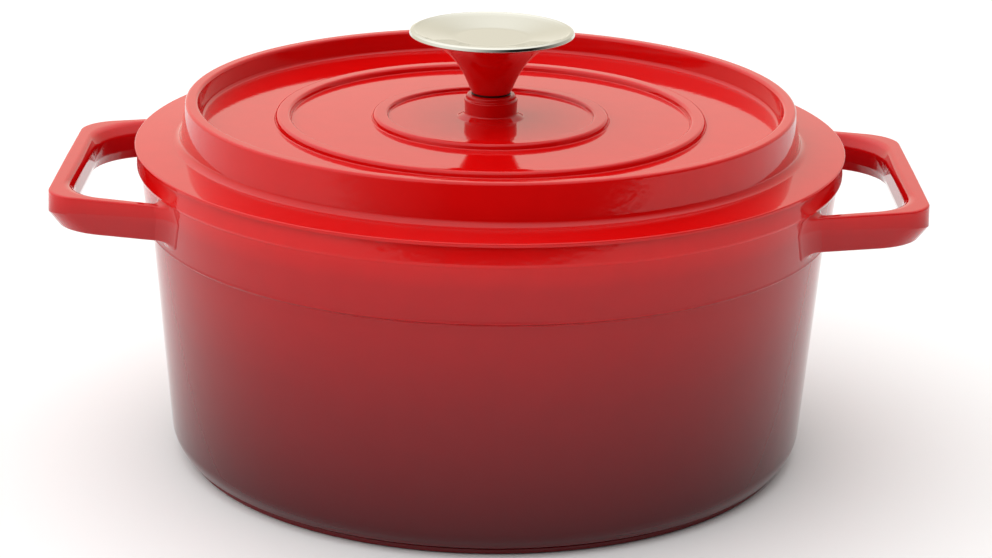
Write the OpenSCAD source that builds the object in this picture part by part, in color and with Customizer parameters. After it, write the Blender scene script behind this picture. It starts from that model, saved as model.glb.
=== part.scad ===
// Round enamelled cast iron dutch oven: a pot with two loop handles and a lift-off
// lid with a screwed-on knob. Millimetres, +Z up, origin at the centre of the base,
// handles along X. Every round piece is a profile of [radius, height] points, and
// each coat of enamel shares its profile with the casting that it covers.

/* [Pot] */
// Diameter across the lid's flange, which covers the pot's rim
lid_d = 260; // [200:1:320]
// Height of the pot's rim above the table
pot_h = 116; // [80:1:180]
// Thickness of the casting in the wall
wall_t = 3.6; // [3:0.1:6]
// Thickness of the casting in the floor
floor_t = 4.4; // [4:0.1:8]
// Lean of the lower wall, in degrees
wall_draft = 4.3; // [0:0.1:6]
// Thickness of each coat of enamel
enamel_t = 0.4; // [0.2:0.05:0.6]

/* [Handles] */
// Reach of each handle past the edge of the lid
handle_reach = 27; // [22:0.5:45]
// Width of a handle's loop where it meets the pot
handle_w = 126; // [90:1:140]
// Height of a handle's section
handle_h = 14; // [10:0.5:20]
// Thickness of a handle's bar and arms
handle_t = 7.4; // [6:0.1:10]

/* [Lid] */
// Thickness of the lid's plate
lid_t = 4.2; // [3.6:0.1:6]
// Height of the lid's raised rim above the pot's rim
tier_h = 16.3; // [13:0.1:24]
// Depth of the panel below the raised rim
panel_depth = 8; // [5:0.1:9]
// Depth of the locating ring under the lid
ring_h = 4; // [3.5:0.1:8]
// Clearance between the locating ring and the pot
ring_gap = 0.5; // [0.4:0.1:1.5]

/* [Knob] */
// Diameter of the knob's steel cap
knob_d = 60.4; // [50:0.2:74]
// Height of the knob above the lid's boss
knob_h = 24; // [20:0.2:36]
// Diameter of the knob's foot
knob_foot_d = 14.4; // [13:0.1:18]
// Diameter of the screw
screw_d = 6; // [5:1:7]
// Clearance around the screw in the lid's boss
screw_gap = 0.3; // [0.2:0.1:0.6]

/* [Hidden] */
$fn = 96;

lid_r = lid_d / 2;

// Pot, outside, from the rim down
rim_r = lid_r - 0.5;             // outside of the rim band
rim_edge = 0.6;                  // bevel on the rim's outer edge
band_h = 7.5;                    // height of the band under the rim
band_draft = 0.5;                // how far the band leans in
band_step = 0.9;                 // ledge under the band
collar_h = 20.5;                 // height of the collar under the band
collar_draft = 2;                // how far the collar leans in
collar_step = 1.8;               // bevel under the collar, across
collar_bevel = 1;                // bevel under the collar, down
corner_h = 7.8;                  // rounded lower edge of the wall, up
corner_in = 3.2;                 // rounded lower edge of the wall, across
foot_h = 2.2;                    // height of the foot
foot_groove = 0.8;               // height and depth of the groove over the foot
foot_edge = 0.5;                 // bare bevel under the foot's coat
foot_in = 2.2;                   // foot's edge inside the wall's lower edge
foot_w = 16;                     // width of the ring that stands on the table
recess_h = 1.2;                  // depth of the hollow inside that ring
band_z = pot_h - band_h;
collar_z = band_z - collar_h;
wall_top_z = collar_z - collar_bevel;
body_z = foot_h + foot_groove;
wall_low_z = body_z + corner_h;
collar_top_r = rim_r - band_draft - band_step;
collar_low_r = collar_top_r - collar_draft;
wall_top_r = collar_low_r - collar_step;
wall_low_r = wall_top_r - (wall_top_z - wall_low_z) * tan(wall_draft);
foot_r = wall_low_r - corner_in - foot_in;

// Pot, inside
rim_w = 6.6;                     // width of the bare rim, with its inner bevel
rim_bevel = 2.6;                 // inner bevel of the rim
inner_corner = 11;               // radius between floor and wall
floor_z = recess_h + floor_t;
inner_top_r = rim_r - rim_w;
inner_wall_r = min(wall_top_r - wall_t, inner_top_r - 1);
inner_low_r = inner_wall_r - (wall_top_z - floor_z) * tan(wall_draft);

// Handles
arm_lean = -15.5;                // the arms close towards the bar, in degrees
bend_r = 13;                     // outer bend between bar and arm
inner_bend_r = 22;               // bend of the opening between bar and arm
handle_drop = 1.7;               // handle's top face below the rim band
under_out = 4;                   // slant of the lower half, outside
under_in = 1.6;                  // slant of the lower half, inside
top_bevel = 0.7;                 // bevel on the top face's outer edge
bar_fall = 0.8;                  // rounding of the bar's top face towards the loop
arm_fall = 3.2;                  // rounding of the arms' top faces towards the loop
root_fillet = 8;                 // fillet between arm and wall
bar_x = lid_r + handle_reach;
root_x = collar_low_r * 0.87;    // arms start inside the wall
handle_top = band_z - handle_drop;
handle_low = handle_top - handle_h;

// Lid, outside
flange_t = 1.2;                  // thickness of the flange's edge
flange_edge = 0.5;               // bevel on that edge
flange_rise = 0.5;               // rise of the flange towards the tier
flange_w = 13.4;                 // width of the flange
cove = 3;                        // cove between flange and tier
tier_draft = 2.2;                // how far the tier's wall leans in
tier_w = 4.6;                    // width of the raised rim
rim_round = 1.4;                 // rounding of the raised rim
rim_cove = 2;                    // cove between raised rim and panel
ridge_h = 2;                     // height of the two rings on the panel
ridge_w = 6.2;                   // width of the rings
ridge_1 = lid_r * 0.312;         // radius of the inner ring
ridge_2 = lid_r * 0.585;         // radius of the outer ring
centre_rise = 0.8;               // rise of the panel inside the inner ring
boss_up = 1.6;                   // top of the boss above the raised rim
boss_wall = 2;                   // boss's edge outside the knob's foot
boss_flare = 0.7;                // widening of the boss towards the panel
boss_fillet = 3.2;               // fillet between boss and panel
tier_z = pot_h + tier_h;
panel_z = tier_z - panel_depth;
centre_z = panel_z + centre_rise;
boss_z = tier_z + boss_up;
flange_z = pot_h + flange_t;
cove_r = lid_r - flange_w;
tier_low_r = cove_r - cove;
tier_top_r = tier_low_r - tier_draft;
boss_r = knob_foot_d / 2 + boss_wall;
boss_low_r = boss_r + boss_flare;

// Lid, inside
ring_w = 5;                      // width of the locating ring
ring_edge = 1;                   // bevel on the locating ring
ring_slope = 5;                  // slope between the ring and the plate
bare_r = 9.5;                    // bare patch under the knob's washers
nub_r = 2.5;                     // nubs under the lid that drip back what condenses
nub_drop = 1.6;                  // how far the nubs stand out
nub_rings = [[ridge_1, 6], [ridge_2, 10]];
plate_z = panel_z - lid_t;       // underside of the bare plate
ring_z = pot_h - ring_h;
seat_r = inner_top_r + rim_bevel - ring_gap;
ring_r = seat_r - ring_h + ring_edge;

// Knob and its hardware
gasket_t = 0.6;                  // thickness of the fibre gasket
gasket_in = 0.7;                 // gasket's edge inside the knob's foot
cap_t = 1.9;                     // thickness of the cap's rim
cap_over = 2.6;                  // overhang of the cap around the body
cap_skin = 0.8;                  // thickness of the cap over the body
cap_dish = 3;                    // depth of the dish in the cap
cap_round = 0.7;                 // rounding of the cap's rim
dish_r = knob_d * 0.23;          // flat of the dish
dish_slope = 12;                 // slope around the dish
flare_mix = 0.45;                // straight share of the body's flare
flare_power = 3.7;               // curve of the rest of the flare
bush_wall = 2;                   // wall of the threaded bush
bush_h = 10;                     // height of the bush
bush_up = 1;                     // bush above the knob's foot
washer_t = 1.2;                  // thickness of the flat washer
spring_t = 1.5;                  // thickness of the spring washer
spring_gap = 1.2;                // split of the spring washer
head_round = 1;                  // rounding of the screw's head
slot = 1.4;                      // width and depth of the cross slot
foot_z = boss_z + gasket_t;
cap_top = boss_z + knob_h;
cap_z = cap_top - cap_t;
body_top = cap_top - cap_skin;
body_top_r = knob_d / 2 - cap_over;
bush_z = foot_z + bush_up;
screw_tip = bush_z + bush_h;
screw_r = screw_d / 2;
hole_r = screw_r + screw_gap;
washer_z = plate_z - washer_t;
spring_z = washer_z - spring_t;
head_h = screw_d * 0.62;
head_z = spring_z - head_h;
washer_r = screw_d * 1.2;
spring_r = screw_d * 0.95;
head_r = screw_d;

// Points on an arc about [r, z], flattened to flat times its radius upwards
function arc(r, z, rad, a0, a1, flat = 1, n = 8) =
    [for (i = [0:n]) let (a = a0 + (a1 - a0) * i / n)
        [r + rad * cos(a), z + flat * rad * sin(a)]];

function reversed(list) = [for (i = [len(list) - 1:-1:0]) list[i]];

// Outside of the pot from the rim down to the foot's edge, moved in by e
function pot_outside(e) = concat(
    [[rim_r - rim_edge - e, pot_h], [rim_r - e, pot_h - rim_edge],
     [rim_r - band_draft - e, band_z + e], [collar_top_r - e, band_z + e],
     [collar_low_r - e, collar_z + e], [wall_top_r - e, wall_top_z]],
    arc(wall_low_r - corner_in, wall_low_z, corner_in - e, 0, -90,
        (corner_h - e) / (corner_in - e)),
    [[foot_r - foot_groove - e, body_z + e], [foot_r - foot_groove - e, foot_h - e],
     [foot_r - e, foot_h - e], [foot_r - e, foot_edge]]);

// Inside of the pot from the floor's centre up to the rim, moved in by e
function pot_inside(e) = concat(
    [[0, floor_z + e]],
    arc(inner_low_r - inner_corner, floor_z + inner_corner, inner_corner - e,
        -90, -wall_draft),
    [[inner_wall_r - e, wall_top_z], [inner_top_r - e, band_z],
     [inner_top_r - e, pot_h - rim_bevel]]);

// Outside of the lid from the boss to the flange's lower edge, moved in by e
function lid_outside(e) = concat(
    [[boss_r - e, boss_z]],
    [for (p = arc(boss_low_r + boss_fillet, centre_z + boss_fillet, boss_fillet + e, 180, 270)) p],
    ring_points(ridge_1, centre_z, panel_z, e),
    ring_points(ridge_2, panel_z, panel_z, e),
    arc(tier_top_r - tier_w - rim_cove, panel_z + rim_cove, rim_cove + e, 270, 350),
    arc(tier_top_r - tier_w + rim_round, tier_z - rim_round, rim_round - e, 170, 90),
    arc(tier_top_r - rim_round, tier_z - rim_round, rim_round - e, 90, 10),
    arc(cove_r, flange_z + flange_rise + cove, cove + e, 190, 270),
    [[lid_r - flange_edge - e, flange_z - e], [lid_r - e, flange_z - flange_edge],
     [lid_r - e, pot_h]]);

// A rounded ring on the panel, rising from z_in and falling to z_out
function ring_points(r, z_in, z_out, e) = [
    for (i = [0:12]) let (x = i / 6 - 1, z = x < 0 ? z_in : z_out)
        [r + x * ridge_w / 2, z - e + (panel_z + ridge_h - z) * (1 + cos(180 * x)) / 2]];

// Underside of the lid from the bare patch to the seat, moved in by e
function lid_inside(e) = [
    [bare_r, plate_z - enamel_t + e],
    [ring_r - ring_w - ring_slope + e, plate_z - enamel_t + e],
    [ring_r - ring_w + e, ring_z + ring_edge],
    [ring_r - ring_w + ring_edge, ring_z + e],
    [ring_r - ring_edge, ring_z + e],
    [ring_r - e, ring_z + ring_edge],
    [seat_r - e, pot_h]];

// Half of a handle's outline: an arm, a bend and half of the bar, moved in by e.
// The arm starts at half-width y, and x is the bar's face.
function half_loop(x, y, r, e) = let (
    slope = tan(arm_lean),
    corner_y = y + (x - root_x) * slope - e / cos(arm_lean) - e * slope,
    centre_y = corner_y - (r - e) * (1 + sin(arm_lean)) / cos(arm_lean))
    concat([[root_x, y - e / cos(arm_lean)]], arc(x - r, centre_y, r - e, 90 + arm_lean, 0));

// A closed loop outline at height z, both halves of half_loop
function ring(x, y, r, e, z) = let (half = half_loop(x, y, r, e))
    [for (p = concat(half, [for (q = reversed(half)) [q[0], -q[1]]])) [p[0], p[1], z]];

// Solid through a stack of rings, lowest first, that all have as many points
module loft(rings) {
    n = len(rings[0]);
    sides = [for (k = [0:len(rings) - 2]) for (i = [0:n - 1]) let (j = (i + 1) % n)
        [k * n + i, k * n + j, (k + 1) * n + j, (k + 1) * n + i]];
    low = [for (i = [0:n - 1]) n - 1 - i];
    top = [for (i = [0:n - 1]) (len(rings) - 1) * n + i];
    polyhedron([for (level = rings) for (p = level) p], concat([low, top], sides));
}

module revolve(points) {
    rotate_extrude() polygon(points);
}

// Fillet between an arm's outer side and the wall, for a coat e thinner
module root(e) {
    side = [cos(arm_lean), sin(arm_lean)];
    out = [-sin(arm_lean), cos(arm_lean)];
    from = [root_x, handle_w / 2] + root_fillet * out;
    along = from * side;
    reach = sqrt(along * along - from * from + pow(collar_low_r + root_fillet, 2)) - along;
    centre = from + reach * side;
    translate([0, 0, handle_low + 1 + e])
        linear_extrude(handle_h - 2 - 2 * e)
            difference() {
                polygon([centre, centre * collar_low_r / norm(centre),
                         [root_x * 0.98, root_x * 0.5], centre - root_fillet * out]);
                translate(centre) circle(root_fillet + e);
            }
}

// One handle towards +X, moved in by e
module handle(e) {
    y = handle_w / 2;
    x_in = bar_x - handle_t;
    y_in = y - handle_t / cos(arm_lean);
    r_in = inner_bend_r;
    mid = handle_low + handle_h / 2;
    difference() {
        union() {
            loft([ring(bar_x, y, bend_r, under_out + e, handle_low + e),
                  ring(bar_x, y, bend_r, e, mid),
                  ring(bar_x, y, bend_r, e, handle_top - top_bevel),
                  ring(bar_x, y, bend_r, top_bevel + e, handle_top - e)]);
            root(e);
            mirror([0, 1, 0]) root(e);
        }
        loft([ring(x_in, y_in, r_in, -under_in - e, handle_low - 1),
              ring(x_in, y_in, r_in, -e, mid - 2),
              ring(x_in, y_in, r_in, -e, mid + 2),
              ring(x_in + bar_fall, y_in + arm_fall, r_in, -e, handle_top + 1)]);
    }
}

// The pot's outer shape with its handles, filled, down to the height low
module pot_shape(e, low) {
    revolve(concat(pot_outside(e), [[foot_r - e, low], [0, low], [0, pot_h]]));
    handle(e);
    mirror([1, 0, 0]) handle(e);
}

module pot_casting() {
    color("dimgray") difference() {
        union() {
            pot_shape(enamel_t, foot_edge);
            revolve([[0, 0], [foot_r - enamel_t - foot_edge, 0], [foot_r - enamel_t, foot_edge],
                     [0, foot_edge]]);
        }
        translate([0, 0, -1]) cylinder(r = foot_r - foot_w, h = recess_h + 1);
        revolve(concat(pot_inside(0), [[inner_top_r + rim_bevel + 1, pot_h + 1], [0, pot_h + 1]]));
    }
}

module pot_outer_enamel() {
    color("firebrick") difference() {
        pot_shape(0, foot_edge);
        pot_shape(enamel_t, foot_edge - 1);
    }
}

module pot_inner_enamel() {
    color("ivory") revolve(concat(pot_inside(0), reversed(pot_inside(enamel_t))));
}

// The nubs under the lid's plate, with a coat of enamel e on them
module nubs(e) {
    for (ring = nub_rings)
        for (i = [0:ring[1] - 1])
            rotate([0, 0, 360 * i / ring[1]])
                translate([ring[0], 0, plate_z - nub_drop + nub_r])
                    sphere(nub_r + e, $fn = 32);
}

module lid_casting() {
    color("dimgray") {
        revolve(concat([[hole_r, boss_z]], lid_outside(enamel_t),
                       reversed(lid_inside(enamel_t)), [[hole_r, plate_z]]));
        nubs(0);
    }
}

module lid_outer_enamel() {
    color("red") revolve(concat(lid_outside(0), reversed(lid_outside(enamel_t))));
}

module lid_inner_enamel() {
    color("ivory") difference() {
        union() {
            revolve(concat(lid_inside(0), reversed(lid_inside(enamel_t))));
            nubs(enamel_t);
        }
        translate([0, 0, plate_z]) cylinder(r = ring_r - ring_w - ring_slope, h = 2 * nub_r);
        nubs(0);
    }
}

module knob_gasket() {
    r = knob_foot_d / 2 - gasket_in;
    color("black") revolve([[hole_r, boss_z], [r, boss_z], [r, foot_z], [hole_r, foot_z]]);
}

// Top of the knob's body and of its cap, raised by up
function dish(up) = [[0, body_top - cap_dish + up], [dish_r, body_top - cap_dish + up],
                     [dish_r + dish_slope, body_top + up]];

module knob_body() {
    foot_r = knob_foot_d / 2;
    flare = [for (i = [0:16]) let (t = i / 16)
        [foot_r + (body_top_r - foot_r) * (flare_mix * t + (1 - flare_mix) * pow(t, flare_power)),
         foot_z + (cap_z - foot_z) * t]];
    color("red") difference() {
        revolve(concat([[0, foot_z]], flare, [[body_top_r, body_top]], reversed(dish(0))));
        translate([0, 0, foot_z - 1]) cylinder(r = hole_r, h = screw_tip - foot_z + 1);
        translate([0, 0, bush_z]) cylinder(r = screw_r + bush_wall, h = bush_h);
    }
}

module knob_bush() {
    r = screw_r + bush_wall;
    color("goldenrod") revolve([[screw_r, bush_z], [r, bush_z], [r, bush_z + bush_h],
                                [screw_r, bush_z + bush_h]]);
}

module knob_cap() {
    color("silver") revolve(concat(
        dish(0), [[body_top_r, body_top], [body_top_r, cap_z]],
        arc(knob_d / 2 - cap_round, cap_z + cap_round, cap_round, -90, 0),
        arc(knob_d / 2 - cap_round, cap_top - cap_round, cap_round, 0, 90),
        reversed(dish(cap_skin))));
}

module knob_screw() {
    color("silver") difference() {
        revolve([[0, head_z], [head_r - head_round, head_z], [head_r, head_z + head_round],
                 [head_r, spring_z], [screw_r, spring_z], [screw_r, screw_tip], [0, screw_tip]]);
        for (turn = [0, 90])
            rotate([0, 0, turn])
                translate([-head_r * 0.6, -slot / 2, head_z - 1])
                    cube([head_r * 1.2, slot, slot + 1]);
    }
}

module spring_washer() {
    color("darkgray") difference() {
        revolve([[screw_r, spring_z], [spring_r, spring_z], [spring_r, washer_z],
                 [screw_r, washer_z]]);
        translate([0, -spring_gap / 2, spring_z - 1]) cube([spring_r + 1, spring_gap, spring_t + 2]);
    }
}

module flat_washer() {
    color("gray") revolve([[screw_r, washer_z], [washer_r, washer_z], [washer_r, plate_z],
                           [screw_r, plate_z]]);
}

pot_casting();
pot_outer_enamel();
pot_inner_enamel();
lid_casting();
lid_outer_enamel();
lid_inner_enamel();
knob_gasket();
knob_body();
knob_bush();
knob_cap();
knob_screw();
spring_washer();
flat_washer();
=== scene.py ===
"""Looks of a round enamelled cast iron dutch oven, modelled around its CAD frame.

The origin is the centre of the base, +Z is up, the handles lie along X and the front faces -Y.
Outlines are worked out in millimetres and scaled to metres when a mesh is made.
"""
import math
from types import SimpleNamespace

import bmesh
import bpy
from bpy.props import FloatProperty, FloatVectorProperty, PointerProperty
from mathutils import Matrix, Quaternion, Vector


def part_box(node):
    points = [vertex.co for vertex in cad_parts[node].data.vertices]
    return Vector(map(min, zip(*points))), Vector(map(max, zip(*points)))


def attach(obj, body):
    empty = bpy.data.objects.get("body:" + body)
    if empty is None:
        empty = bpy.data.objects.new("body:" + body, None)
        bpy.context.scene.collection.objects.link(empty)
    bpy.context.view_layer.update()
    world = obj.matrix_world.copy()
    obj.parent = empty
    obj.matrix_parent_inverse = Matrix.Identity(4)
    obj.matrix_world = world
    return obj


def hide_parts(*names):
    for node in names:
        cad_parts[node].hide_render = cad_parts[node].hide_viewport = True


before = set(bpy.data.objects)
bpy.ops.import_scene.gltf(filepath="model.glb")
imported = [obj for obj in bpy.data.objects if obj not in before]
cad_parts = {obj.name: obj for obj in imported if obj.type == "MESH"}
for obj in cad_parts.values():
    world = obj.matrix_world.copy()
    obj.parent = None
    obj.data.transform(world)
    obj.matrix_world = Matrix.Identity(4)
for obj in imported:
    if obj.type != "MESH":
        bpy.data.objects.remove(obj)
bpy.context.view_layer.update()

bl_info = {
    "name": "Enamelled Dutch Oven",
    "version": (1, 0, 0),
    "blender": (4, 5, 0),
    "location": "View3D > Sidebar > Dutch Oven",
    "description": "Builds a round enamelled cast iron pot, its ringed lid and its knob",
    "category": "Object",
}

MM = 0.001
TURN_STEPS = 192                  # facets around each turned piece
FILLET_STEPS = 6                  # facets across each fillet
BEND_STEPS = 14                   # sections around each bend of a handle
FLARE_STEPS = 28                  # rings up the knob's flare
CAST_SMOOTH = math.radians(50)    # edges that turn more than this stay sharp

# Small details, which are the same on every size of pot. Lengths are in millimetres.
ENAMEL_LAP = 2                    # how far the outer enamel laps onto the rim's top
RIM_BEVEL = 2.6                   # bevel at the rim's inner edge
BAND_STEP = 1.4                   # width of the ledge under the band
COLLAR_LEAN = 2                   # how much further out the collar's top is than its lower edge
COLLAR_BEVEL = 1                  # height of the ledge under the collar
GROOVE = 0.8                      # height and depth of the groove over the foot
FOOT_EDGE = 0.5                   # height of the bare iron under the foot's enamel
FOOT_WIDTH = 16                   # width of the ring that stands on the table
RECESS = 1.2                      # depth of the underside inside that ring
COVE = 3                          # width of the cove between the lid's flange and its tier
TIER_LEAN = 2.2                   # how far the tier's wall leans in
TIER_WIDTH = 4.6                  # width of the raised rim
FLANGE_EDGE = 1.2                 # thickness of the flange's edge
FLANGE_RISE = 0.5                 # rise of the flange towards the tier
CENTRE_RISE = 0.8                 # rise of the panel inside the inner ring
GUIDE_DEPTH = 4                   # depth of the locating ring
BARE_PATCH = 9.5                  # radius of the bare iron under the washers
SCREW_HOLE = 3.3                  # radius of the hole through the boss
NUB_RADIUS = 2.9                  # radius of a nub under the lid, with its enamel
NUB_CENTRE = 0.9                  # centre of a nub above the bare underside
NUBS_INSIDE = 6                   # nubs under the inner ring
NUBS_OUTSIDE = 10                 # nubs under the outer ring
DISH_SHARE = 0.46                 # flat of the dish as a share of the cap
DISH_SLOPE = 12                   # width of the slope around that flat
FLARE_STRAIGHT = 0.45             # straight share of the knob's flare
FLARE_CURVE = 3.7                 # power of the rest of the flare
# Corners of the wall's lower edge: (in from the base radius, up from the groove, fillet)
LOWER_EDGE = ((0.4, 4.6, 16), (2.9, 0.6, 1.2), (3.8, 0, 0.3))


# ---- sizes and colours that a user can set ----

def top_of(node):
    """Height of a CAD node's highest point, in millimetres."""
    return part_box(node)[1].z / MM


def reach_of(node, axis):
    """Largest distance of a CAD node from the pot's axis along X (0) or Y (1), in millimetres."""
    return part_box(node)[1][axis] / MM


def length(label, description, millimetres):
    """A size in metres, with its default given in millimetres."""
    return FloatProperty(name=label, description=description, default=millimetres * MM,
                         unit="LENGTH", min=0, precision=4)


def colour(label, description, hex_value):
    """A colour with its default given as an sRGB hex value."""
    return FloatVectorProperty(name=label, description=description, subtype="COLOR", size=3,
                               min=0, max=1, default=linear(hex_value)[:3])


def linear(hex_value):
    """The linear RGBA of an sRGB hex value such as "c8102e"."""
    channels = [int(hex_value[i:i + 2], 16) / 255 for i in (0, 2, 4)]
    return tuple(c / 12.92 if c <= 0.04045 else ((c + 0.055) / 1.055) ** 2.4
                 for c in channels) + (1.0,)


class DutchOvenPot(bpy.types.PropertyGroup):
    height: length("Height", "Height of the rim above the table", top_of("pot_casting"))
    rim_radius: length("Rim radius", "Outside of the band under the rim", reach_of("pot_outer_enamel", 1))
    band: length("Band", "Height of the band under the rim", 7.5)
    collar: length("Collar", "Height of the collar under the band", 20.5)
    collar_radius: length("Collar radius", "Outside of the collar's lower edge", 126.1)
    wall_radius: length("Wall radius", "Outside of the wall under the collar", 124.3)
    base_radius: length("Base radius", "Outside of the wall above its rounded lower edge", 118.57)
    foot_radius: length("Foot radius", "Outside of the foot ring", 113.17)
    foot_height: length("Foot height", "Height of the enamelled foot ring", 2.2)
    bore_radius: length("Bore radius", "Inside of the pot at its rim", 122.9)
    inner_radius: length("Inner radius", "Inside of the pot under the collar", 120.5)
    inner_base: length("Inner base radius", "Inside of the pot at its floor", 114.6)
    floor: length("Floor", "Height of the cooking surface", 5.6)
    enamel: length("Enamel", "Thickness of each coat of enamel", 0.4)


class DutchOvenHandles(bpy.types.PropertyGroup):
    reach: length("Reach", "From the pot's axis to a handle's outer face", reach_of("pot_outer_enamel", 0))
    half_width: length("Half width", "Half of the loop's width where the arms start", 63)
    start: length("Start", "Where half_width is measured, along X", 109.7)
    thickness: length("Thickness", "Thickness of the bar and arms", 7.4)
    top: length("Top", "Height of the top face", 106.8)
    height: length("Height", "Height of the section", 14)
    bend: length("Bend", "Outer bend between bar and arm", 13)
    inner_bend: length("Inner bend", "Bend of the loop's opening between bar and arm", 27)
    lean: FloatProperty(name="Lean", description="How far the arms close towards the bar",
                        default=math.radians(15.5), unit="ROTATION")


class DutchOvenLid(bpy.types.PropertyGroup):
    seat: length("Seat", "Height of the pot's rim, where the lid rests", top_of("pot_casting"))
    radius: length("Radius", "Outside of the flange", reach_of("lid_outer_enamel", 1))
    flange: length("Flange", "Width of the flange outside the raised tier", 13.4)
    tier: length("Tier", "Height of the raised rim above the seat", 16.3)
    panel: length("Panel", "Height of the panel inside the raised rim above the seat", 8.3)
    inner_ring: length("Inner ring", "Radius of the inner ring on the panel", 40.56)
    outer_ring: length("Outer ring", "Radius of the outer ring on the panel", 76.05)
    ring_height: length("Ring height", "Height of both rings", 2.2)
    ring_width: length("Ring width", "Width of both rings", 6.2)
    boss_radius: length("Boss radius", "Outside of the boss under the knob", 9.2)
    boss_top: length("Boss top", "Height of the boss's top", top_of("lid_casting"))
    under: length("Underside", "Height of the bare underside of the plate", top_of("flat_washer"))
    guide: length("Guide", "Outside of the locating ring under the lid", 122)


class DutchOvenKnob(bpy.types.PropertyGroup):
    foot_z: length("Foot height", "Underside of the knob", top_of("knob_gasket"))
    foot_radius: length("Foot radius", "Radius of the knob's foot", 7.2)
    body_top: length("Body top", "Top of the knob's body", top_of("knob_body"))
    body_radius: length("Body radius", "Largest radius of the body", reach_of("knob_body", 0))
    cap_top: length("Cap top", "Top of the steel cap", top_of("knob_cap"))
    cap_radius: length("Cap radius", "Outside of the steel cap", reach_of("knob_cap", 0))
    cap_edge: length("Cap edge", "Thickness of the cap's rim", 1.9)
    dish: length("Dish", "Depth of the dish in the cap", 3)


class DutchOvenColours(bpy.types.PropertyGroup):
    lid_red: colour("Lid red", "Enamel of the lid", "d20808")
    rim_red: colour("Rim red", "Enamel of the pot's rim band and handles", "d60a0a")
    collar_red: colour("Collar red", "Enamel under the rim band", "b60a10")
    waist_red: colour("Waist red", "Enamel half way down the wall", "880a12")
    base_maroon: colour("Base maroon", "Enamel at the wall's lower edge", "4c0810")
    # Foot ring: its maroon enamel with painted light, lighter than the base maroon above it to offset the
    # shade the ring sits in under the pot
    foot_maroon: colour("Foot maroon with painted light", "Enamel on the foot ring", "6c0b14")
    cream: colour("Cream", "Enamel inside pot and lid", "efe6d2")
    iron: colour("Iron", "Bare cast iron", "2b2a2b")


def sizes(group):
    """A property group's lengths in millimetres and its angles in radians."""
    kinds = group.bl_rna.properties
    return SimpleNamespace(**{name: getattr(group, name) / (MM if kinds[name].unit == "LENGTH" else 1)
                              for name in group.__annotations__})


# ---- outlines: lists of (radius, height) points in millimetres ----

def rounded(corners):
    """An outline's points, with each (radius, height, fillet) corner rounded to that fillet."""
    points = []
    for i, corner in enumerate(corners):
        here = Vector(corner[:2])
        before = Vector(corners[i - 1][:2]) - here
        after = Vector(corners[(i + 1) % len(corners)][:2]) - here
        if len(corner) < 3:
            points.append(tuple(here))
            continue
        half = before.angle(after) / 2
        cut = min(corner[2] / math.tan(half), 0.49 * before.length, 0.49 * after.length)
        radius = cut * math.tan(half)
        middle = (before.normalized() + after.normalized()).normalized()
        centre = here + middle * (radius / math.sin(half))
        start = here + before.normalized() * cut - centre
        turn = start.angle_signed(here + after.normalized() * cut - centre)
        for k in range(FILLET_STEPS + 1):
            spoke = start.copy()
            spoke.rotate(Matrix.Rotation(-turn * k / FILLET_STEPS, 2))
            points.append(tuple(centre + spoke))
    return [p for i, p in enumerate(points) if not i or math.dist(p, points[i - 1]) > 1e-4]


def inset(points, depth, closed=False):
    """The outline moved to the right of its direction by depth, with its corners kept."""
    moved = []
    last = len(points) - 1
    for i, point in enumerate(points):
        here = Vector(point)
        into = here - Vector(points[i - 1]) if i or closed else None
        out = Vector(points[(i + 1) % len(points)]) - here if i < last or closed else None
        sides = [Vector((s.y, -s.x)).normalized() for s in (into, out) if s is not None and s.length]
        normal = sum(sides, Vector((0, 0))).normalized()
        moved.append(tuple(here + normal * (depth / max(0.3, normal.dot(sides[0])))))
    return moved


def pot_outside(s):
    """Outside of the pot, from the rim down over the groove and the foot ring."""
    band_low = s.height - s.band
    collar_low = band_low - s.collar
    body_low = s.foot_height + GROOVE
    band = [(s.rim_radius - ENAMEL_LAP, s.height), (s.rim_radius - 1, s.height, 0.5),
            (s.rim_radius, band_low + 1, 1.5), (s.rim_radius - 0.3, band_low, 0.4),
            (s.rim_radius - BAND_STEP, band_low, 0.3)]
    # the enamel gathers in a thin bead on the collar's lower edge
    collar = [(s.collar_radius, collar_low + 1.2, 2), (s.collar_radius + 0.15, collar_low + 0.3, 0.3),
              (s.collar_radius - 0.2, collar_low, 0.3), (s.wall_radius, collar_low - COLLAR_BEVEL, 0.6)]
    edge = [(s.base_radius - across, body_low + up, fillet) for across, up, fillet in LOWER_EDGE]
    foot = [(s.foot_radius - GROOVE, body_low, 0.2), (s.foot_radius - GROOVE, s.foot_height, 0.2),
            (s.foot_radius, s.foot_height, 0.5), (s.foot_radius, FOOT_EDGE)]
    return rounded(band + collar + edge + foot)


def pot_inside(s):
    """Inside of the pot, from the floor's centre up to the rim's inner bevel."""
    band_low = s.height - s.band
    return rounded([(0, s.floor), (s.inner_base, s.floor, 12),
                    (s.inner_radius, band_low - s.collar - 3.5, 30), (s.bore_radius, band_low, 10),
                    (s.bore_radius, s.height - RIM_BEVEL)])


def ridge(radius, width, low_in, low_out, crest):
    """A rounded ring on the lid, rising from low_in to crest and falling to low_out."""
    half = width / 2
    side = 0.5                    # width of each steep side
    return rounded([(radius - half - 1, low_in), (radius - half, low_in, 0.4),
                    (radius - half + side, crest, 1.7), (radius + half - side, crest, 1.7),
                    (radius + half, low_out, 0.4), (radius + half + 1, low_out)])


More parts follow.
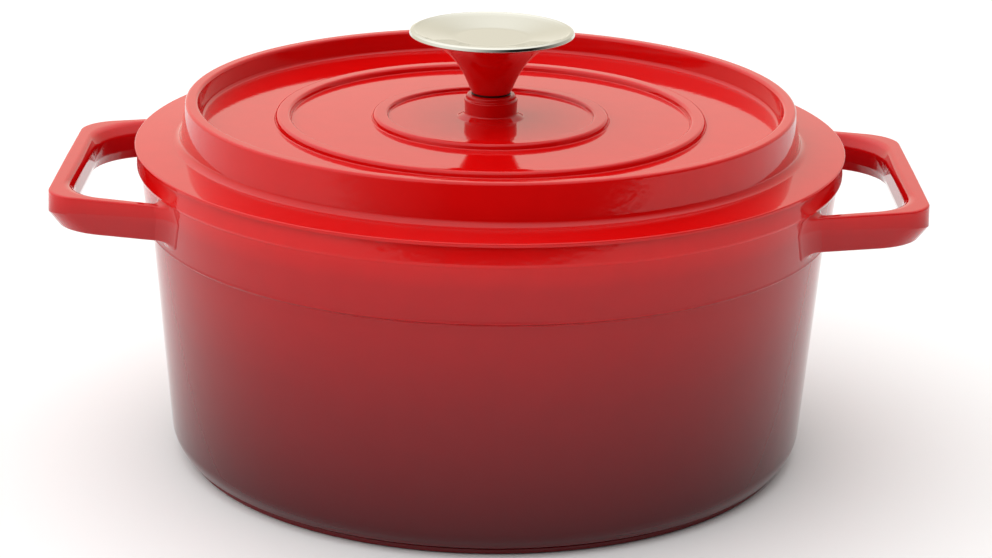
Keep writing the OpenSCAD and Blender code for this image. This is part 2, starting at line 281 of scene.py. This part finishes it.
def lid_outside(s):
    """Outside of the lid, from its boss out and down to the flange's lower edge."""
    panel = s.seat + s.panel
    tier = s.seat + s.tier
    centre = panel + CENTRE_RISE
    crest = panel + s.ring_height
    flange = s.seat + FLANGE_EDGE
    tier_low = s.radius - s.flange - COVE
    tier_top = tier_low - TIER_LEAN
    tier_inside = tier_top - TIER_WIDTH
    # the boss has a narrow step at its top and a wide one at its root
    boss = rounded([(s.boss_radius - 2, s.boss_top), (s.boss_radius - 0.3, s.boss_top, 1.1),
                    (s.boss_radius - 0.1, s.boss_top - 1.7, 0.6),
                    (s.boss_radius + 0.6, s.boss_top - 2.1, 0.8),
                    (s.boss_radius + 0.4, centre + 1.6, 1), (s.boss_radius + 3, centre, 1.6),
                    (s.inner_ring - s.ring_width, centre)])
    edge = rounded([(s.outer_ring + s.ring_width, panel), (tier_inside - 0.7, panel, 1.8),
                    (tier_inside, tier, 1.4), (tier_top, tier, 1.2),
                    (tier_low, flange + FLANGE_RISE, 3), (s.radius, flange, 0.5), (s.radius, s.seat)])
    return (boss + ridge(s.inner_ring, s.ring_width, centre, panel, crest)
            + ridge(s.outer_ring, s.ring_width, panel, panel, crest) + edge)


def lid_inside(s, enamel):
    """Underside of the lid, from the flange in over the locating ring to the bare patch."""
    low = s.seat - GUIDE_DEPTH
    plate = s.under - enamel
    return rounded([(s.guide + 3, s.seat), (s.guide, low + 1, 0.8), (s.guide - 1, low, 1),
                    (s.guide - 4, low, 1), (s.guide - 5, low + 1, 1), (s.guide - 10, plate, 4),
                    (BARE_PATCH, plate)])


def knob_flare(s):
    """Outside of the knob's body, from its foot up to the cap."""
    rim = s.cap_top - s.cap_edge
    points = []
    for i in range(1, FLARE_STEPS + 1):
        t = i / FLARE_STEPS
        spread = FLARE_STRAIGHT * t + (1 - FLARE_STRAIGHT) * t ** FLARE_CURVE
        points.append((s.foot_radius + (s.body_radius - s.foot_radius) * spread,
                       s.foot_z + (rim - s.foot_z) * t))
    return points


def knob_body(s):
    """Half of the body's outline, from its foot's centre round to the bottom of the dish."""
    flare = knob_flare(s)
    foot = rounded([(0, s.foot_z), (s.foot_radius, s.foot_z, 0.5), flare[0]])[:-1]
    return foot + flare + dish_under(s)


def dish_under(s):
    """The body's top under the cap, from its edge in to the centre of the dish."""
    flat = DISH_SHARE * s.cap_radius
    return [(s.body_radius, s.body_top), (flat + DISH_SLOPE, s.body_top),
            (flat, s.body_top - s.dish), (0, s.body_top - s.dish)]


def knob_cap(s):
    """Half of the cap's outline: its dish, its polished bead and the skin over the body."""
    flat = DISH_SHARE * s.cap_radius
    under = s.cap_top - s.cap_edge
    return rounded([(0, s.cap_top - s.dish), (flat, s.cap_top - s.dish, 14),
                    (flat + DISH_SLOPE, s.cap_top - 0.8, 14), (s.cap_radius - 2.6, s.cap_top - 0.4, 0.6),
                    (s.cap_radius - 1.5, s.cap_top, 0.8), (s.cap_radius - 0.4, s.cap_top - 0.4, 0.3),
                    (s.cap_radius, under + 0.4, 0.2), (s.cap_radius - 0.4, under, 0.2),
                    (s.body_radius, under), *dish_under(s)])


# ---- meshes ----

def turned(outline):
    """A mesh of an outline spun about the pot's axis. Ends on the axis are closed by poles."""
    bm = bmesh.new()
    points = [bm.verts.new((radius, 0, height)) for radius, height in outline]
    pairs = list(zip(points, points[1:]))
    if outline[0][0] or outline[-1][0]:
        pairs.append((points[-1], points[0]))
    edges = [bm.edges.new(pair) for pair in pairs]
    bmesh.ops.spin(bm, geom=points + edges, cent=(0, 0, 0), axis=(0, 0, 1), dvec=(0, 0, 0),
                   angle=math.tau, steps=TURN_STEPS, use_merge=True, use_duplicate=False)
    bmesh.ops.remove_doubles(bm, verts=bm.verts, dist=0.001)
    bmesh.ops.recalc_face_normals(bm, faces=bm.faces)
    return bm


def coat(outside, thickness):
    """A closed skin of enamel, from its outline in to the casting on the outline's right."""
    return turned(outside + inset(outside, thickness)[::-1])


def piece(name, bm, body, slot, material, *nodes):
    """Make an object of a mesh in millimetres, which rides on a body and stands for CAD nodes."""
    bmesh.ops.scale(bm, vec=(MM, MM, MM), verts=bm.verts)
    mesh = bpy.data.meshes.new(name)
    bm.to_mesh(mesh)
    bm.free()
    mesh.shade_smooth()
    mesh.set_sharp_from_angle(angle=CAST_SMOOTH)
    mesh.materials.append(material)
    made = bpy.data.objects.new(name, mesh)
    bpy.context.collection.objects.link(made)
    weighted = made.modifiers.new("Weighted normals", "WEIGHTED_NORMAL")
    weighted.keep_sharp = True
    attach(made, body)
    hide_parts(*nodes)


def finish_node(name, material):
    """Give a CAD node, whose shape is kept, its own finish."""
    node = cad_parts[name]
    node.data.materials.clear()
    node.data.materials.append(material)


# ---- the handles ----

# How far each section of an arm's root stands from the wall; the first is inside it
ROOT_DISTANCES = (-1.5, 0, 0.1, 0.3, 0.6, 1, 1.6, 2.2, 2.8, 3.3, 3.78, 3.9)
BEND_SHARE = (0.3, 0.8)           # how far the section has changed where the bend starts and ends
ROOT_FLARES = (5.4, 4, 3.2, 2.6)    # flare of a root outside, inside, above and below


def bend_points(reach, half_width, bend, s):
    """The bend from a loop's arm to its bar, for one side of the section, as points."""
    corner = half_width - (reach - s.start) * math.tan(s.lean)
    centre = Vector((reach - bend, corner - bend * (1 - math.sin(s.lean)) / math.cos(s.lean)))
    swing = math.pi / 2 - s.lean
    angles = [swing * (1 - k / BEND_STEPS) for k in range(BEND_STEPS + 1)]
    return [centre + bend * Vector((math.cos(angle), math.sin(angle))) for angle in angles]


def handle_section(s, share):
    """A handle's section as (across, height) points, from its inner face out, clockwise.

    The outer face is two facets that meet in an edge. share runs from 0 at the wall to 1 in the
    middle of the bar, where that edge lies lower and the lower facet slants less."""
    low = s.top - s.height
    middle = s.top - s.height / 2
    fall = 3 - 1.4 * share
    facet = s.top - 4.2 - 4.8 * share
    slant = 4 - 1.5 * share
    lean = 0.75 * (1 - share)
    return rounded([(0, middle - 2.5, 2.5), (0, s.top - fall - 1.5, 3), (fall, s.top, 2.6),
                    (s.thickness - lean, s.top, 0.7), (s.thickness, facet, 0.8),
                    (s.thickness - slant, low, 1.3), (1.6, low, 1)])


def root_flare(radius, distance):
    """How far the arm's root stands out from a side at a distance from the wall.

    It is a fillet that stops short of the side's tangent, so that it starts at a crease."""
    def fillet(away):
        return radius - math.sqrt(radius ** 2 - max(0, radius - max(0, away)) ** 2)
    return max(0, fillet(distance) - fillet(0.7 * radius))


def wall_point(start, direction, radius):
    """Where a line from start meets a circle about the pot's axis, going out."""
    along = start.dot(direction)
    return start + direction * (math.sqrt(along ** 2 - start.length_squared + radius ** 2) - along)


def root_ring(s, pot, distance):
    """The arm's section at a distance from the wall, widened by the flare at its root."""
    outside, inside, above, below = ROOT_FLARES
    direction = Vector((math.cos(s.lean), -math.sin(s.lean)))
    across = Vector((math.sin(s.lean), math.cos(s.lean)))
    inner = Vector((s.start, s.half_width - s.thickness / math.cos(s.lean)))
    section = handle_section(s, 0)
    grown = inset(section, -1, closed=True)
    collar_low = pot.height - pot.band - pot.collar
    points = []
    for (u, z), (u_out, z_out) in zip(section, grown):
        u += (u_out - u) * root_flare(outside if u_out > u else inside, distance)
        z += (z_out - z) * root_flare(above if z_out > z else below, distance)
        wall = pot.collar_radius + (z - collar_low) * COLLAR_LEAN / pot.collar
        spot = wall_point(inner + across * u, direction, wall + distance)
        points.append((spot.x, spot.y, z))
    return points


def handle(s, pot):
    """A loop handle towards +X: half of it is extruded ring by ring from the wall, then mirrored."""
    inner_width = s.half_width - s.thickness / math.cos(s.lean)
    outer = bend_points(s.reach, s.half_width, s.bend, s)
    inner = bend_points(s.reach - s.thickness, inner_width, s.inner_bend, s)
    rings = [root_ring(s, pot, distance) for distance in ROOT_DISTANCES]
    for k, (out, near) in enumerate(zip(outer, inner)):
        share = BEND_SHARE[0] + (BEND_SHARE[1] - BEND_SHARE[0]) * k / BEND_STEPS
        rings.append([(*(near + (out - near) * u / s.thickness), z)
                      for u, z in handle_section(s, share)])
    rings.append([(inner[-1].x + u, 0, z) for u, z in handle_section(s, 1)])
    bm = bmesh.new()
    ring = [bm.verts.new(point) for point in rings[0]]
    bm.faces.new(ring)
    for points in rings[1:]:
        edges = [bm.edges.get(pair) or bm.edges.new(pair) for pair in zip(ring, ring[1:] + ring[:1])]
        grown = set(bmesh.ops.extrude_edge_only(bm, edges=edges)["geom"])
        ring = [next(edge.other_vert(vert) for edge in vert.link_edges
                     if edge.other_vert(vert) in grown) for vert in ring]
        for vert, point in zip(ring, points):
            vert.co = point
    bmesh.ops.mirror(bm, geom=bm.verts[:] + bm.edges[:] + bm.faces[:], merge_dist=0.01, axis="Y")
    bmesh.ops.recalc_face_normals(bm, faces=bm.faces)
    return bm


# ---- materials ----

def add(tree, kind, inputs=None, **settings):
    """Add a shader node, with its settings and with values or links for its inputs."""
    made = tree.nodes.new("ShaderNode" + kind)
    for name, value in settings.items():
        setattr(made, name, value)
    for name, value in (inputs or {}).items():
        if isinstance(value, bpy.types.NodeSocket):
            tree.links.new(value, made.inputs[name])
        else:
            made.inputs[name].default_value = value
    return made


def new_material(name, **principled):
    """A material with a Principled shader: (its node tree, the shader)."""
    material = bpy.data.materials.new(name)
    material.use_nodes = True
    shader = material.node_tree.nodes["Principled BSDF"]
    for label, value in principled.items():
        shader.inputs[label.replace("_", " ")].default_value = value
    return material, material.node_tree, shader


def rgba(colour_value):
    """A property group's colour with full alpha."""
    return (*colour_value, 1.0)


def millimetre_noise(tree, position, spacing, detail=2.0):
    """Noise whose features are about spacing millimetres apart."""
    return add(tree, "TexNoise", {"Vector": position, "Scale": 1 / (spacing * MM), "Detail": detail})


def ramp(tree, factor, *stops):
    """A colour ramp with (place, colour) stops: its first, its last, then those between."""
    made = add(tree, "ValToRGB", {"Fac": factor})
    elements = made.color_ramp.elements
    for i, (place, value) in enumerate(stops):
        element = elements[i] if i < 2 else elements.new(place)
        element.position = place
        element.color = value
    return made.outputs["Color"]


def bump(tree, shader, height, depth, strength=1.0):
    """Raise the surface by up to depth millimetres where height is 1."""
    made = add(tree, "Bump", {"Height": height, "Distance": depth * MM, "Strength": strength})
    tree.links.new(made.outputs["Normal"], shader.inputs["Normal"])


def vitreous_enamel(name, paint, roughness=0.06):
    """Vitreous enamel, sprayed and fired to glass: deep colour under a clear gloss, with a faint
    orange peel. paint takes the tree and the object's coordinates and returns the colour."""
    material, tree, shader = new_material(name, Roughness=roughness, IOR=1.4)
    position = add(tree, "TexCoord").outputs["Object"]
    cloud = millimetre_noise(tree, position, 9, 3)
    tint = add(tree, "HueSaturation", {"Color": paint(tree, position)})
    depth = add(tree, "MapRange", {"Value": cloud.outputs["Fac"], "To Min": 0.94, "To Max": 1.06})
    tree.links.new(depth.outputs["Result"], tint.inputs["Value"])
    tree.links.new(tint.outputs["Color"], shader.inputs["Base Color"])
    peel = millimetre_noise(tree, position, 2.6, 1)
    bump(tree, shader, peel.outputs["Fac"], 0.012)
    return material


def plain_paint(value):
    """Paint of one colour."""
    return lambda tree, position: value


def shaded_paint(colours, height):
    """Enamel sprayed bright at the rim and darker towards the wall's lower edge. The foot ring under it is
    painted lighter again, as painted light against the shade it sits in.
    """
    def paint(tree, position):
        rise = add(tree, "SeparateXYZ", {"Vector": position}).outputs["Z"]
        share = add(tree, "MapRange", {"Value": rise, "From Min": 0, "From Max": height})
        # the first stop is painted light on the foot ring: lighter than the wall's lower edge, against the
        # shade under the pot
        return ramp(tree, share.outputs["Result"], (0.015, rgba(colours.foot_maroon)),
                    (0.94, rgba(colours.rim_red)), (0.045, rgba(colours.base_maroon)),
                    (0.48, rgba(colours.waist_red)), (0.86, rgba(colours.collar_red)))
    return paint


def speckled_cream(value):
    """Cream enamel with the fine dark specks of its iron ground."""
    def paint(tree, position):
        speck = add(tree, "TexVoronoi", {"Vector": position, "Scale": 1 / (2.4 * MM)})
        return ramp(tree, speck.outputs["Distance"], (0.03, linear("9c8f78")), (0.07, value))
    return paint


def cast_iron(value):
    """Sand-cast grey iron, bare and oiled: near black, matte, with the sand's grain."""
    material, tree, shader = new_material("sand_cast_iron", Base_Color=value, Metallic=0.55)
    position = add(tree, "TexCoord").outputs["Object"]
    grain = millimetre_noise(tree, position, 0.7, 4)
    patch = millimetre_noise(tree, position, 14, 3)
    rough = add(tree, "MapRange", {"Value": patch.outputs["Fac"], "To Min": 0.42, "To Max": 0.68})
    tree.links.new(rough.outputs["Result"], shader.inputs["Roughness"])
    bump(tree, shader, grain.outputs["Fac"], 0.12)
    return material


def turned_metal(name, hex_value, roughness, spacing, depth):
    """Metal turned on a lathe: fine rings about the pot's axis, spacing millimetres apart."""
    material, tree, shader = new_material(name, Base_Color=linear(hex_value), Metallic=1.0)
    position = add(tree, "TexCoord").outputs["Object"]
    rings = add(tree, "TexWave", {"Vector": position, "Scale": 1 / (spacing * MM * math.tau)},
                wave_type="RINGS", rings_direction="Z")
    smear = millimetre_noise(tree, position, 3, 2)
    rough = add(tree, "MapRange", {"Value": smear.outputs["Fac"], "To Min": roughness * 0.7,
                                   "To Max": roughness * 1.4})
    tree.links.new(rough.outputs["Result"], shader.inputs["Roughness"])
    bump(tree, shader, rings.outputs["Fac"], depth)
    return material


def fibre_gasket():
    """Pressed fibre sheet: brown-black and matte, with short fibres."""
    material, tree, shader = new_material("pressed_fibre", Base_Color=linear("4a1c18"), Roughness=0.8)
    position = add(tree, "TexCoord").outputs["Object"]
    fibres = millimetre_noise(tree, position, 0.35, 3)
    bump(tree, shader, fibres.outputs["Fac"], 0.05)
    return material


# ---- the stage ----

FLOOR_HALF = 6                    # half of the floor's width, in metres
ROOM_TURN = (0, math.radians(18), math.radians(-25))    # turns the bright wall to the left
ROOM_STRENGTH = 1.65
CAMERA_PLACE = Vector((0, -0.9827, 0.389))
CAMERA_AIM = Vector((0.00307, 0, 0.06215))
CAMERA_ROLL = math.radians(1.06)
LENS = 100.3                      # focal length in millimetres
SENSOR = 36                       # width of the sensor in millimetres


def studio_world():
    """Soft overhead light that falls off to a warm wall behind the pot, on its left, and to shade
    in front of it."""
    world = bpy.data.worlds.new("studio")
    world.use_nodes = True
    tree = world.node_tree
    to_left = add(tree, "Mapping", {"Vector": add(tree, "TexCoord").outputs["Generated"],
                                    "Rotation": ROOM_TURN})
    way = add(tree, "SeparateXYZ", {"Vector": to_left.outputs["Vector"]})
    depth = add(tree, "MapRange", {"Value": way.outputs["Y"], "From Min": -1, "From Max": 1})
    walls = ramp(tree, depth.outputs["Result"], (0.1, rgba((0.01, 0.01, 0.01))),
                 (1, rgba((0.68, 0.645, 0.56))), (0.42, rgba((0.3, 0.29, 0.28))))
    rise = add(tree, "MapRange", {"Value": way.outputs["Z"], "From Min": 0.25, "From Max": 0.85},
               interpolation_type="SMOOTHSTEP")
    room = add(tree, "MixRGB", {"Fac": rise.outputs["Result"], "Color1": walls,
                                "Color2": rgba((1, 1, 1))})
    seen = add(tree, "MixRGB", {"Fac": add(tree, "LightPath").outputs["Is Camera Ray"],
                                "Color1": room.outputs["Color"], "Color2": rgba((0.6, 0.6, 0.6))})
    tree.links.new(seen.outputs["Color"], tree.nodes["Background"].inputs["Color"])
    tree.nodes["Background"].inputs["Strength"].default_value = ROOM_STRENGTH
    return world


def stage_floor():
    """A wide sheet of white paper under the pot."""
    bm = bmesh.new()
    bmesh.ops.create_grid(bm, x_segments=1, y_segments=1, size=FLOOR_HALF)
    mesh = bpy.data.meshes.new("floor")
    bm.to_mesh(mesh)
    bm.free()
    paper, _, _ = new_material("white_paper", Base_Color=linear("fafafa"), Roughness=0.9)
    mesh.materials.append(paper)
    return bpy.data.objects.new("floor", mesh)


def stage_camera():
    """A long lens in front of the pot and a little above it."""
    lens = bpy.data.cameras.new("camera")
    lens.lens = LENS
    lens.sensor_width = SENSOR
    camera = bpy.data.objects.new("camera", lens)
    camera.location = CAMERA_PLACE
    aim = (CAMERA_AIM - CAMERA_PLACE).to_track_quat("-Z", "Y")
    camera.rotation_mode = "QUATERNION"
    camera.rotation_quaternion = aim @ Quaternion((0, 0, 1), CAMERA_ROLL)
    return camera


# ---- operators ----

class BuildPot(bpy.types.Operator):
    """Build the pot's casting, its outer enamel and its cream liner"""
    bl_idname = "dutch_oven.pot"
    bl_label = "Pot"

    def execute(self, context):
        s = sizes(context.scene.dutch_oven_pot)
        colours = context.scene.dutch_oven_colours
        outside = pot_outside(s)
        inside = pot_inside(s)
        foot = rounded([(s.foot_radius - s.enamel, FOOT_EDGE), (s.foot_radius - s.enamel - 0.5, 0, 0.4),
                        (s.foot_radius - FOOT_WIDTH, 0, 0.5), (s.foot_radius - FOOT_WIDTH, RECESS, 0.8),
                        (0, RECESS)])
        rim = rounded([(s.bore_radius, s.height - RIM_BEVEL), (s.bore_radius + RIM_BEVEL, s.height, 0.5),
                       (s.rim_radius - ENAMEL_LAP, s.height)])
        core = inset(outside, s.enamel)
        core[0] = (core[0][0], s.height)
        iron = turned(inside[:-1] + rim + core[:-1] + foot)
        piece("pot_iron", iron, "pot", "bare_iron", cast_iron(rgba(colours.iron)), "pot_casting")
        enamel = vitreous_enamel("shaded_vitreous_enamel", shaded_paint(colours, s.height * MM))
        piece("pot_enamel", coat(outside, s.enamel), "pot", "shaded_red_enamel", enamel,
              "pot_outer_enamel")
        liner = vitreous_enamel("cream_vitreous_enamel", speckled_cream(rgba(colours.cream)), 0.12)
        piece("pot_liner", coat(inside, -s.enamel), "pot", "cream_enamel", liner, "pot_inner_enamel")
        return {"FINISHED"}


class BuildHandles(bpy.types.Operator):
    """Build the two loop handles and their roots on the wall"""
    bl_idname = "dutch_oven.handles"
    bl_label = "Handles"

    def execute(self, context):
        s = sizes(context.scene.dutch_oven_handles)
        pot = sizes(context.scene.dutch_oven_pot)
        material = bpy.data.materials["shaded_vitreous_enamel"]
        for name, turn in (("handle_right", 0), ("handle_left", math.pi)):
            bm = handle(s, pot)
            bmesh.ops.rotate(bm, verts=bm.verts, matrix=Matrix.Rotation(turn, 3, "Z"))
            piece(name, bm, "pot", "shaded_red_enamel", material, "pot_outer_enamel")
        return {"FINISHED"}


class BuildLid(bpy.types.Operator):
    """Build the lid's casting, its outer enamel and its liner with drip nubs"""
    bl_idname = "dutch_oven.lid"
    bl_label = "Lid"

    def execute(self, context):
        s = sizes(context.scene.dutch_oven_lid)
        colours = context.scene.dutch_oven_colours
        enamel = sizes(context.scene.dutch_oven_pot).enamel
        outside = lid_outside(s)
        inside = lid_inside(s, enamel)
        core = [(SCREW_HOLE, s.boss_top), *inset(outside, enamel), *inset(inside, enamel),
                (SCREW_HOLE, s.under)]
        piece("lid_iron", turned(core), "lid", "bare_iron", bpy.data.materials["sand_cast_iron"],
              "lid_casting")
        red = vitreous_enamel("red_vitreous_enamel", plain_paint(rgba(colours.lid_red)))
        piece("lid_enamel", coat(outside, enamel), "lid", "red_enamel", red, "lid_outer_enamel")
        liner = coat(inside, enamel)
        for radius, count in ((s.inner_ring, NUBS_INSIDE), (s.outer_ring, NUBS_OUTSIDE)):
            out = Matrix.Translation((radius, 0, s.under + NUB_CENTRE))
            for k in range(count):
                spot = Matrix.Rotation(math.tau * k / count, 4, "Z") @ out
                bmesh.ops.create_uvsphere(liner, u_segments=24, v_segments=12, radius=NUB_RADIUS,
                                          matrix=spot)
        piece("lid_liner", liner, "lid", "cream_enamel", bpy.data.materials["cream_vitreous_enamel"],
              "lid_inner_enamel")
        return {"FINISHED"}


class BuildKnob(bpy.types.Operator):
    """Build the knob's body and steel cap, and finish its gasket, bush, screw and washers"""
    bl_idname = "dutch_oven.knob"
    bl_label = "Knob"

    def execute(self, context):
        s = sizes(context.scene.dutch_oven_knob)
        colours = context.scene.dutch_oven_colours
        red = vitreous_enamel("knob_gloss_red", plain_paint(rgba(colours.lid_red)), 0.1)
        piece("knob_red_body", turned(knob_body(s)), "lid", "knob_red", red, "knob_body")
        steel = turned_metal("polished_stainless", "cfcec3", 0.06, 0.5, 0.0012)
        piece("knob_steel_cap", turned(knob_cap(s)), "lid", "polished_steel", steel, "knob_cap")
        finish_node("knob_gasket", fibre_gasket())
        finish_node("knob_bush", turned_metal("turned_brass", "d9b36a", 0.25, 0.3, 0.01))
        zinc = turned_metal("zinc_plated_steel", "c9ccd2", 0.3, 0.4, 0.006)
        for name in ("knob_screw", "spring_washer", "flat_washer"):
            finish_node(name, zinc)
        return {"FINISHED"}


class BuildStage(bpy.types.Operator):
    """Set the pot on a pale floor under soft studio light, with the camera in front"""
    bl_idname = "dutch_oven.stage"
    bl_label = "Stage"

    def execute(self, context):
        context.scene.view_settings.view_transform = "Standard"
        floor = stage_floor()
        context.collection.objects.link(floor)
        context.scene.world = studio_world()
        camera = stage_camera()
        context.collection.objects.link(camera)
        context.scene.camera = camera
        return {"FINISHED"}


class DutchOvenPanel(bpy.types.Panel):
    bl_idname = "VIEW3D_PT_dutch_oven"
    bl_label = "Dutch Oven"
    bl_space_type = "VIEW_3D"
    bl_region_type = "UI"
    bl_category = "Dutch Oven"

    def draw(self, context):
        for operator in OPERATORS:
            self.layout.operator(operator.bl_idname)
        for name in GROUPS:
            group = getattr(context.scene, name)
            box = self.layout.box()
            for size in group.__annotations__:
                box.prop(group, size)


OPERATORS = (BuildPot, BuildHandles, BuildLid, BuildKnob, BuildStage)
GROUPS = {
    "dutch_oven_pot": DutchOvenPot,
    "dutch_oven_handles": DutchOvenHandles,
    "dutch_oven_lid": DutchOvenLid,
    "dutch_oven_knob": DutchOvenKnob,
    "dutch_oven_colours": DutchOvenColours,
}


def register():
    for made in (*GROUPS.values(), *OPERATORS, DutchOvenPanel):
        bpy.utils.register_class(made)
    for name, group in GROUPS.items():
        setattr(bpy.types.Scene, name, PointerProperty(type=group))


def unregister():
    for name in GROUPS:
        delattr(bpy.types.Scene, name)
    for made in (DutchOvenPanel, *reversed(OPERATORS), *reversed(GROUPS.values())):
        bpy.utils.unregister_class(made)


def main():
    register()
    for operator in OPERATORS:
        group, name = operator.bl_idname.split(".")
        getattr(getattr(bpy.ops, group), name)()


if __name__ == "__main__":
    main()
